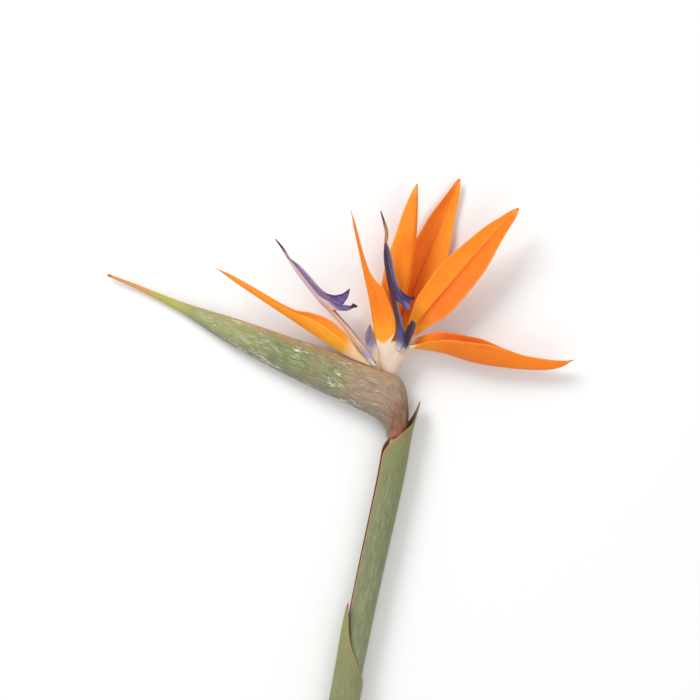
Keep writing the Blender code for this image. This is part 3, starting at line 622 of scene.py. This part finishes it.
def roundPiece(name, path, radius, rings, sides, dome=(0.22, 0.22)):
    # a solid rod with domed ends; radius(share, angle) gives how far its surface stands up and sideways
    share = np.linspace(0, 1, rings)
    centre, _, opens, sideways = framesAlong(path, share, (up, up))
    angle = np.arange(sides) / sides * 2 * math.pi
    tall, wide = radius(share[:, None], angle[None, :])
    points = centre[:, None, :] + (
        opens[:, None, :] * (np.sin(angle) * tall)[..., None]
        + sideways[:, None, :] * (np.cos(angle) * wide)[..., None]
    )
    caps, middles = [], []
    for end, inner, bulge in ((points[0], points[1], dome[0]), (points[-1], points[-2], dome[1])):
        middle = end.mean(0)
        out = unit(middle - inner.mean(0)) * np.linalg.norm(end - middle, axis=1).mean() * bulge
        caps.append([middle + (end - middle) * f + out * math.sqrt(1 - f * f) for f in (0.95, 0.72, 0.38)])
        middles.append(middle + out)
    grid = np.concatenate([np.array(caps[0][::-1]), points, np.array(caps[1])])
    marks = {
        "along": np.append(np.repeat(np.concatenate([[0, 0, 0], share, [1, 1, 1]]), sides), [0, 1]),
        "around": np.append(np.tile(angle, len(grid)), [0, 0]),
    }
    vertices = np.concatenate([grid.reshape(-1, 3), middles])
    return newPiece(name, vertices, tubeFaces(len(grid), sides), marks, name)


def makeStyles():
    for name, look in styles.items():
        shape = arrows[look["arrow"]]
        share = np.linspace(0.01, 0.98, 11)
        centre, _, opens, _ = framesAlong(smoothLine(shape["spine"]), share, shape["opens"])
        lie = styleLie - 1.5 * np.clip((share - 0.75) / 0.23, 0, 1)  # it comes up to the arrow's tip
        line = smoothLine([*(centre + opens * lie[:, None]).tolist(), *look["end"]])
        swell = smoothProfile(look["swell"])

        def radius(s, a):
            r = styleRadius * swell(s) * (1 + 0.06 * np.cos(3 * a))
            return r, r

        piece = roundPiece(name, line, radius, 90, 14)
        piece.data.materials.append(styleFinish(name, look["paints"], look["turns"]))
    print("styles made:", len(styles))


def styleFinish(name, hues, turns):
    finish = Finish(name + "_thread", hues, Subsurface_Weight=0.1, Subsurface_Scale=0.0006)
    along = finish.marks("along")[0]
    flecks = finish.noise(finish.place(), 700)
    finish.colour = finish.blend(along.ragged(flecks, 0.08).step(*turns), "low", "high")
    finish.lay(flecks.step(0.5, 0.7) * 0.4, "high")
    return finish.coat(0.5 + flecks * 0.2, flecks, 0.0001)


# The ovaries with their pale tubes: places along each, with half its width and half its height

ovaries = {
    "floret_1_ovary": [((-9, -7.6, 11), 1.3, 1.3), ((-8.5, -6.2, 11), 2.3, 2.2),
                       ((-7.4, -3.4, 11.1), 2.8, 2.9), ((-6.6, -1.2, 11.2), 3.3, 3.5),
                       ((-6, 0.6, 11.3), 3.8, 3.9)],
    "floret_2_ovary": [((2.6, -11, 11.2), 1.4, 1.4), ((2.8, -9.4, 11.4), 2.5, 2.4),
                       ((3, -4.4, 11.9), 3.6, 3.5), ((3.1, 2.4, 12.7), 4.7, 4.1), ((3.5, 6.8, 13.3), 6, 4.5),
                       ((4.4, 10.4, 13.7), 7.6, 4.6), ((4.9, 13.4, 13.9), 9, 4), ((5.2, 16.2, 14), 9.9, 3),
                       ((5.3, 18, 14), 10, 2.2)],
}
tubePaint = paints(pale="dcc6b0", warm="d2b6a2", blush="c99f8c", foot="d3a283", lip="e0cbb0")


def tubeFinish(name):
    finish = Finish(
        name + "_cream", tubePaint,
        Subsurface_Weight=0.25, Subsurface_Radius=(1, 0.5, 0.3), Subsurface_Scale=0.0015,
    )
    along, around = finish.marks("along", "around")
    streak = finish.noise((around * 1.9, along * 1.4, 2), 3.4, 4, 0.6)
    cloud = finish.noise(finish.place(), 110)
    finish.colour = finish.blend(streak.step(0.35, 0.7), "pale", "warm")
    finish.lay(cloud.step(0.5, 0.75) * 0.45, "blush")
    finish.lay(along.ragged(cloud, 0.2).step(0.5, 0.1), "foot")
    finish.lay(along.ragged(streak, 0.1).step(0.8, 0.97) * 0.8, "lip")
    return finish.coat(0.4 + streak * 0.12, streak, 0.00015)


def makeOvaries():
    for name, rings in ovaries.items():
        points, *halves = zip(*rings)
        shares = np.linspace(0, 1, len(rings))
        wide, tall = (smoothProfile(zip(shares, half)) for half in halves)

        def radius(s, a):
            lobes = 0.035 * (1 + np.cos(3 * a + 0.6)) * np.clip(s * 1.6 - 0.2, 0, 1)
            lobes = 1 - lobes - 0.008 * np.cos(17 * a)
            return tall(s) * lobes, wide(s) * lobes

        piece = roundPiece(name, smoothLine(points), radius, 60, 68, dome=(0.22, 0.12))
        piece.data.materials.append(tubeFinish(name))
    print("ovaries made:", len(ovaries))


# The stem

stemShape = {
    "line": [(-52, -341, 6.8), (-43, -290, 8.5), (-27, -210, 9.8), (-11, -130, 10.1), (2.8, -66, 9.8),
             (7, -42, 10), (7.4, -33, 10.1), (6, -24.5, 10.3), (1.8, -17.6, 10.6), (-5, -14.4, 10.9),
             (-11.5, -12.6, 11)],
    "radii": [(0, 6.8), (0.5, 6.3), (0.84, 5.9), (0.872, 4.5), (1, 4.3)],
    "slant": math.radians(38),  # of the cut at the foot
    "ribs": 22,
    "ribDepth": 0.1,
}
stemPaint = paints(
    green="7b8a50", shade="5f703b", bloom="8d9865", specks="b9bf8c", foot="8a8a55", neck="c4a27c",
    pith="dfe0b4", threads="a8a866", rind="a3ad6a",
)


def makeStem():
    line, thickness = smoothLine(stemShape["line"]), smoothProfile(stemShape["radii"])
    sides, rings = 88, 190
    share = np.linspace(0, 1, rings)
    centre, forward, opens, sideways = framesAlong(line, share, (up, up))
    length = np.linalg.norm(np.diff(centre, axis=0), axis=1).sum()
    angle = np.arange(sides) / sides * 2 * math.pi
    radial = opens[:, None, :] * np.sin(angle)[:, None] + sideways[:, None, :] * np.cos(angle)[:, None]
    ribs = -stemShape["ribDepth"] * (1 + np.cos(stemShape["ribs"] * angle))
    girth = thickness(share)[:, None] + ribs - 0.12 * (1 + np.sin(share * 31))[:, None]
    points = centre[:, None, :] + radial * girth[..., None]

    # the slanted cut: the first rings lean over until they lie in the cut's plane
    slant, foot, ahead = stemShape["slant"], centre[0], forward[0]
    x, y, sine, cosine = ahead[0], ahead[1], math.sin(slant), math.cos(slant)
    square = np.array([x * cosine - y * sine, x * sine + y * cosine, 0.0])
    leaning, spare = 8, 2.2  # how many rings lean, and the space between them
    reach = stemShape["radii"][0][1] * math.tan(slant) + 0.5
    lean = radial[0] @ square / (ahead @ square) * girth[0]
    above = share > (reach + leaning * spare) / length + 0.002
    kept, keptShare = points[above], share[above]
    bend = kept[0].mean(0) - (foot + ahead * (keptShare[0] * length))
    low = []
    for k in range(leaning + 1):
        away = reach + spare * k - lean * (1 - k / leaning) ** 1.5
        low.append(foot + radial[0] * girth[0][:, None] + ahead * away[:, None] + bend * (k / leaning) ** 2)

    # the cut face is a shallow dish, and the other end a low dome inside the spathe
    dish, inner, outer = 0.35, (0.3, 0.6, 0.86, 0.97), (0.8, 0.45)
    middle, tip = low[0].mean(0), kept[-1].mean(0)
    face = [middle + (low[0] - middle) * f + ahead * (dish * (1 - f * f)) for f in inner]
    dome = [tip + (kept[-1] - tip) * f + forward[-1] * (1 - f) * 1.2 for f in outer]
    grid = np.concatenate([face, low, kept, dome])
    vertices = np.concatenate([grid.reshape(-1, 3), [middle + ahead * dish, tip + forward[-1] * 1.4]])
    shares = [*[0] * len(face), *np.linspace(0, keptShare[0] * 0.95, len(low)), *keptShare, *[1] * len(dome)]
    cut = [1 - f for f in inner] + [0.0] * (len(grid) - len(inner))
    marks = {
        "along": np.append(np.repeat(shares, sides), [0, 1]),
        "around": np.append(np.tile(angle, len(grid)), [angle[0], angle[-1]]),
        "cut": np.append(np.repeat(cut, sides), [1, 0]),
    }
    piece = newPiece("stem", vertices, tubeFaces(len(grid), sides), marks, "stem")
    piece.data.materials.append(stemFinish())
    print("stem made")


def stemFinish():
    finish = Finish(
        "stem_green", stemPaint, Subsurface_Weight=0.06, Subsurface_Scale=0.002, Specular_IOR_Level=0.5
    )
    along, around, cut = finish.marks("along", "around", "cut")
    place = finish.place()
    streak = finish.noise((around * 2, along * 9, 1), 3, 4, 0.6)
    cloud = finish.noise(place, 30, 4)
    finish.colour = finish.blend(streak.step(0.3, 0.7), "green", "shade")
    finish.lay(cloud.step(0.45, 0.7) * 0.6, "bloom")
    finish.lay(finish.spots(place, 420).step(0.16, 0.06) * 0.5, "specks")
    finish.lay(along.step(0.05, 0) * 0.6, "foot")
    finish.lay(along.step(0.84, 0.9), "neck")
    pith = finish.blend(finish.spots(place, 1100).step(0.28, 0.12), "pith", "threads")
    pith = finish.blend(cut.step(0.16, 0.04), pith, "rind")
    finish.lay(cut.step(0.005, 0.03), pith)
    ribs = (around * stemShape["ribs"]).wave()
    return finish.coat(0.4 + streak * 0.15, ribs * 0.4 + streak, 0.0002)


# The sheaths that clasp the stem

# low and high are shares of the stem's line; the tip is the length that stands free of it
sheaths = {
    "upper_sheath": {"low": 0.46, "high": 0.884, "turn": math.radians(-12), "radius": (6.65, 7.5),
                     "tip": 26, "spread": 2.4, "seed": 2},
    "lower_sheath": {"low": 0.1, "high": 0.46, "turn": math.radians(150), "radius": (7.05, 8.5),
                     "tip": 46, "spread": 1.4, "seed": 5},
}
sheathWall = 0.9
sheathRibs, sheathRibDepth = 38, 0.07
sheathPaint = paints(
    green="838a62", shade="636e47", dusk="8f9070", bloom="a2a890", tinge="7c7054", pale="aab090",
    dark="495233", flakes="dfe0cc", warm="858046", free="9a965a", margin="b0705c", tip="8a6a42",
)


def makeSheaths():
    line = smoothLine(stemShape["line"])
    for name, shape in sheaths.items():
        low, high = shape["low"], shape["high"]
        foot, mouth = line(low), line(high)
        ahead = unit(mouth - line(high - 0.02))
        right = unit(np.cross(ahead, up))
        front = np.cross(right, ahead)
        straight = np.linalg.norm(mouth - foot)
        clasp = straight / (straight + shape["tip"])  # the share that clasps the stem; the rest is free
        free = 1 - clasp
        wrap = [(0, 172), (clasp * 0.93, 166), (clasp + free * 0.2, 92), (clasp + free * 0.55, 36), (1, 3)]
        along = smoothProfile([(0, 0), (0.3, clasp * 0.8), (1, 1)])(np.linspace(0, 1, 141))
        across = np.linspace(-1, 1, 73)
        climb, past = np.minimum(along / clasp, 1), np.maximum(along - clasp, 0) / free
        axis = line(low + (high - low) * climb) + ahead * (past * shape["tip"])[:, None]
        angle = shape["turn"] + np.radians(smoothProfile(wrap)(along))[:, None] * across
        narrow, broad = shape["radius"]
        swell = narrow + (broad - narrow) * climb + sheathWall
        swell = swell + 0.15 * np.exp(-((along / 0.03) ** 2)) + shape["spread"] * past**1.5
        ribs = -sheathRibDepth * (1 + np.cos(across * sheathRibs)) * np.clip((1 - along) * 6, 0, 1)[:, None]
        outward = right * np.cos(angle)[..., None] + front * np.sin(angle)[..., None]
        points = axis[:, None, :] + outward * (swell[:, None] + ribs)[..., None]
        thin = 0.3 + 0.7 * np.sqrt(np.clip(1 - abs(across) ** 8, 0, 1))
        thick = sheathWall * thin * np.clip((1 - along)[:, None] * 8, 0.4, 1)
        row, column = 60, 36  # a place in the middle, which tells the side that the stem is on
        here = points[row, column]
        normal = np.cross(points[row + 1, column] - here, points[row, column + 1] - here)
        lean = 1.0 if normal @ (axis[row] - here) > 0 else -1.0
        marks = {"along": along[:, None], "across": across, "free": past[:, None]}
        piece = sheetPiece(name, points, thick, lean, marks)
        piece.data.materials.append(sheathFinish(name, shape["seed"]))
    print("sheaths made:", len(sheaths))


def sheathFinish(name, seed):
    finish = Finish(
        name + "_olive", sheathPaint, Subsurface_Weight=0.08, Subsurface_Scale=0.001, Specular_IOR_Level=0.45
    )
    along, across, free = finish.marks("along", "across", "free")
    edge = abs(across)
    streak = finish.noise((across * 10, along * 3, seed), 3, 4, 0.6)
    cloud = finish.noise(finish.place(), 45, 4)
    bloom = finish.noise((across * 5, along * 9, seed + 4), 3, 5, 0.7)
    tinge = finish.noise((across * 3, along * 5, seed + 8), 2.4, 4, 0.6)
    fine = finish.noise((across * 44, along * 12, seed + 2), 2, 3, 0.6)
    flakes = ((fine - 0.5) * 3 + (bloom - 0.56) * 4).step(0.3, 0.6)
    finish.colour = finish.blend(streak.step(0.3, 0.72), "green", "shade")
    finish.lay(cloud.step(0.45, 0.7) * 0.5, "dusk")
    finish.lay(bloom.step(0.55, 0.75) * 0.4, "bloom")
    finish.lay(tinge.step(0.5, 0.72) * 0.4, "tinge")
    finish.lay(fine.step(0.52, 0.68) * 0.28, "pale")
    finish.lay((0.5 - fine).step(0, 0.14) * 0.35, "dark")
    finish.lay(flakes * 0.22, "flakes")
    finish.lay(along.ragged(cloud, 0.3).step(0.5, 0.9) * 0.5, "warm")
    finish.lay(free.step(0.05, 0.9) * 0.6, "free")
    finish.lay(edge.step(0.88, 0.99) * 0.8, "margin")
    finish.lay(along.step(0.97, 1), "tip")
    ribs = (across * sheathRibs).wave()
    return finish.coat(0.42 + streak * 0.18, ribs * 0.35 + streak + fine * 0.5, 0.00022)


# The spathe

spatheShape = {
    # keel's x and y, the lips' x and y, the middle's height and half of the width
    "sections": [
        (0.9, -39.6, 13.7, -37.6, 10, 6.3), (0.7, -36.8, 14, -31.6, 10.1, 6.6),
        (0.1, -34.2, 14.3, -24.4, 10.2, 7.4), (-1.6, -31.2, 13.8, -16.4, 10.4, 8.6),
        (-4.4, -28.6, 12.2, -9.2, 10.7, 9.8), (-8.2, -26.2, 8.6, -3.6, 11, 10.6),
        (-13, -23.8, 2, -0.4, 11.1, 10.9), (-19.5, -20.8, -7, 2.4, 11, 10.8),
        (-29, -16.4, -18.4, 6.8, 10.6, 10.5), (-42, -10.3, -32.6, 12.6, 10, 9.9),
        (-52, -5.6, -42.6, 16.4, 9.4, 9.3), (-63, 0, -54.4, 20.2, 8.7, 8.6),
        (-81, 9.6, -73.6, 26.8, 7.5, 7.4), (-97, 18.6, -91.2, 32.6, 6.1, 5.9),
        (-111, 28, -107.2, 37.4, 4.9, 4.2), (-123, 35.8, -120.8, 41.6, 3.9, 2.8),
        (-137, 43.6, -135.6, 47.2, 3.6, 1.8), (-152, 51, -151.2, 53.4, 3.7, 1.2),
        (-167.4, 57.8, -167, 59.2, 4, 0.7),
    ],
    # half the gap between the two edges, by the count of sections from the neck
    "slit": [(0, 0.3), (3.6, 0.3), (5, 4.8), (6, 6.2), (7, 5.8), (8, 3.8), (9, 1.2), (10, 0.3), (18, 0.12)],
    "pinch": [(0, 0), (6, 0), (10, 1), (18, 1)],
    "wall": 1.5,
    "ribs": 66,
    "ribDepth": 0.085,
}
spathePaint = paints(
    green="8d9560", greenShade="627042", dusk="8f8766", beak="a3a672", beakShade="8a925a", tan="ad9178",
    tanShade="8b7160", neck="94583f", neckShade="6b4535", foot="b25844", keel="7f766c", lips="b58d60",
    bloom="b5b2a2", pale="c6c4a8", dark="4f4c34", blush="9c8274", flakes="e8e6dc", specks="e9e6d6",
    margin="a1714e", sour="bdb45e", sourShade="a5a548", tip="e0a35a", tipShade="cf8f45", end="a0622f",
    inside="d2ab7c", insideShade="b57a58",
)


def makeSpathe():
    sections = spatheShape["sections"]
    last = len(sections) - 1
    step = np.linspace(0, last, 181)
    columns = (smoothProfile(enumerate(column))(step) for column in zip(*sections))
    keelX, keelY, lipX, lipY, high, half = columns
    keel, lips = np.stack([keelX, keelY, high], axis=-1), np.stack([lipX, lipY, high], axis=-1)
    wide = half[:, None]
    gaps = np.linalg.norm(np.diff((keel + lips) / 2, axis=0), axis=1)
    run = np.append(0, np.cumsum(gaps)) / 10  # in centimetres
    slit, pinch = (smoothProfile(spatheShape[key])(step)[:, None] for key in ("slit", "pinch"))
    across = np.linspace(-1, 1, 105)
    angle = math.pi * abs(across)
    gap = np.minimum(slit, 0.6 * wide)
    upperSide = gap + (wide - gap) * np.sin(angle) * (1 + 0.22 * np.cos(angle) * pinch)
    side = np.where(angle > math.pi / 2, upperSide, wide * np.sin(angle))
    height = ((1 - np.cos(angle)) / 2)[:, None]
    points = keel[:, None, :] * (1 - height) + lips[:, None, :] * height
    points = points + up * (side * np.sign(across))[..., None]
    rib = spatheShape["ribDepth"] * (1 + np.cos(across * spatheShape["ribs"])) * np.clip(wide / 8, 0, 1)
    points = points + faceDirections(points) * rib[..., None]
    depth = np.linalg.norm(lips - keel, axis=1)[:, None]
    wall = np.minimum(np.minimum(spatheShape["wall"], 0.5 * wide), 0.25 * depth)
    thick = wall * (0.25 + 0.75 * np.sqrt(np.clip(1 - abs(across) ** 10, 0, 1)))
    marks = {"along": (step / last)[:, None], "across": across, "run": run[:, None]}
    piece = sheetPiece("spathe", points, thick, 1.0, marks)
    piece.data.materials.append(spatheFinish())
    print("spathe made")


def spatheFinish():
    finish = Finish(
        "spathe_waxy_green", spathePaint,
        Specular_IOR_Level=0.35, Subsurface_Weight=0.05, Subsurface_Scale=0.001,
    )
    along, across, skin, run = finish.marks("along", "across", "skin", "run")
    edge, place = abs(across), finish.place()
    streak = finish.noise((across * 9, run * 0.42, 1), 3, 5, 0.62)
    scratch = finish.noise((across * 16, run * 1.6, 5), 2.4, 5, 0.7, 0.3)
    patch = finish.noise((across * 3, run * 0.34, 8), 2.2, 4, 0.6)
    blush = finish.noise((across * 4, run * 0.5, 12), 2, 4, 0.6)
    fine = finish.noise((across * 40, run * 0.9, 3), 2, 4, 0.68)
    cloud = finish.noise(place, 38, 4, 0.6)
    spot = finish.noise(place, 170, 2)
    specks = finish.spots((across * 34, run * 7, 2), 1)

    def streaky(key, low=0.3, high=0.7):
        return finish.blend(streak.step(low, high), key, key + "Shade")

    green = finish.blend(cloud.step(0.42, 0.68) * 0.5, streaky("green"), "dusk")
    finish.colour = finish.blend(along.ragged(patch, 0.1).step(0.62, 0.72), green, streaky("beak"))
    finish.lay(along.ragged(patch, 0.3).step(0.54, 0.34), streaky("tan", 0.35))
    finish.lay(along.ragged(cloud, 0.12).step(0.26, 0.14), streaky("neck", 0.35, 0.65))
    # the keel side turns greyer and darker: a greyer band of the spathe's own, darkened further as painted shade
    # on the side away from the light
    keel = edge.ragged(streak, 0.2).step(0.42, 0.1)
    lips = edge.ragged(streak, 0.25).step(0.62, 0.9) * along.step(0.2, 0.35) * along.step(0.93, 0.8)
    bloom = (scratch - 0.5) * 1.4 + (patch - 0.5) * 2.2
    flakes = ((fine - 0.5) * 3.8 + (scratch - 0.5) * 1.8 + (patch - 0.56) * 3.2 + keel * 0.3).step(0.48, 0.70)
    flakes = flakes * along.step(0.86, 0.72) * along.step(0.2, 0.35)
    finish.lay(along.ragged(cloud, 0.06).step(0.09, 0.02) * 0.75, "foot")
    # painted shade and the greyer band along the keel
    finish.lay(keel * along.step(0.9, 0.75) * 0.75, "keel")
    finish.lay(lips * 0.75, "lips")
    finish.lay(bloom.step(0.05, 0.55) * along.step(0.86, 0.7) * 0.32, "bloom")
    finish.lay(fine.step(0.5, 0.66) * along.step(0.9, 0.75) * 0.28, "pale")
    finish.lay((0.5 - fine).step(0, 0.14) * 0.45, "dark")
    finish.lay(blush.step(0.5, 0.7) * along.step(0.75, 0.5) * 0.5, "blush")
    finish.lay(flakes * 0.85, "flakes")
    finish.lay(specks.step(0.16, 0.05) * 0.5, "specks")
    finish.lay(edge.ragged(scratch, 0.05).step(0.93, 0.985) * along.step(0.9, 0.8) * 0.8, "margin")
    finish.lay(along.ragged(streak, 0.04).step(0.79, 0.865), streaky("sour"))
    finish.lay((along.ragged(streak, 0.03) - edge * 0.012).step(0.875, 0.915), streaky("tip"))
    finish.lay(along.ragged(spot, 0.05).step(0.985, 1) * 0.7, "end")
    finish.lay(1 - skin, streaky("inside"))
    ribs = (across * spatheShape["ribs"]).wave()
    roughness = 0.42 + bloom.step(0, 0.5) * 0.2 + streak * 0.08
    return finish.coat(roughness, ribs * 0.3 + streak + fine * 0.8, 0.00028)


# The table, the light and the camera

tablePaint = paints(white="f1f1f0", shade="eeeeed")
lamps = {  # where each stands from the flower, its power and its width
    "key": ((-0.85, 1.05, 1.15), 20.0, 0.8),
    "fill": ((0.9, -0.3, 1.6), 4.5, 1.4),
    "front": ((0.0, -1.2, 1.1), 4.0, 1.2),
}
skyStrength = 0.62
cameraView = {"lens": 127.5, "aside": (-0.021, 0.0132), "height": 1.5}


def makeTable():
    reach, drop = 6.0, 0.0002  # in metres
    mesh = bpy.data.meshes.new("table_top")
    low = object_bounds()[0][2] - drop
    corners = [(-reach, -reach, low), (reach, -reach, low), (reach, reach, low), (-reach, reach, low)]
    mesh.from_pydata(corners, [], [(0, 1, 2, 3)])
    table = addObject("table_top", mesh)
    finish = Finish("table_white", tablePaint)
    cloud = finish.noise(finish.place(), 2, 2)
    finish.colour = finish.blend(cloud, "white", "shade")
    mesh.materials.append(finish.coat(0.7 + cloud * 0.1))
    print("table made")


def makeLight():
    middle = throat + Vector((-0.02, 0.02, 0.0))  # of the flower's head
    for name, (place, power, width) in lamps.items():
        lamp = bpy.data.lights.new(name, "AREA")
        lamp.shape, lamp.size, lamp.energy = "DISK", width, power
        light = addObject(name, lamp)
        light.location = middle + Vector(place)
        light.rotation_euler = (-Vector(place)).to_track_quat("-Z", "Y").to_euler()
    world = bpy.data.worlds.new("studio")
    bpy.context.scene.world = world
    world.use_nodes = True
    sky = world.node_tree.nodes["Background"]
    sky.inputs["Color"].default_value = (1.0, 1.0, 1.0, 1.0)
    sky.inputs["Strength"].default_value = skyStrength
    bpy.context.scene.view_settings.view_transform = "Standard"
    print("lights made:", len(lamps))


def makeCamera():
    lens = bpy.data.cameras.new("camera")
    lens.lens, lens.sensor_width, lens.clip_end = cameraView["lens"], 36.0, 20.0
    camera = addObject("camera", lens)
    aside = cameraView["aside"]
    camera.location = (throat.x + aside[0], throat.y + aside[1], cameraView["height"])
    bpy.context.scene.camera = camera


makeSpathe()
makeSheaths()
makeStem()
makeOvaries()
makeBlades("sepals", sepals, sepalBuild, sepalFinish)
makeBlades("arrows", arrows, arrowBuild, blueFinish)
makeBlades("short petals", shortPetals, petalBuild, blueFinish)
makeStyles()
makeTable()
makeLight()
makeCamera()
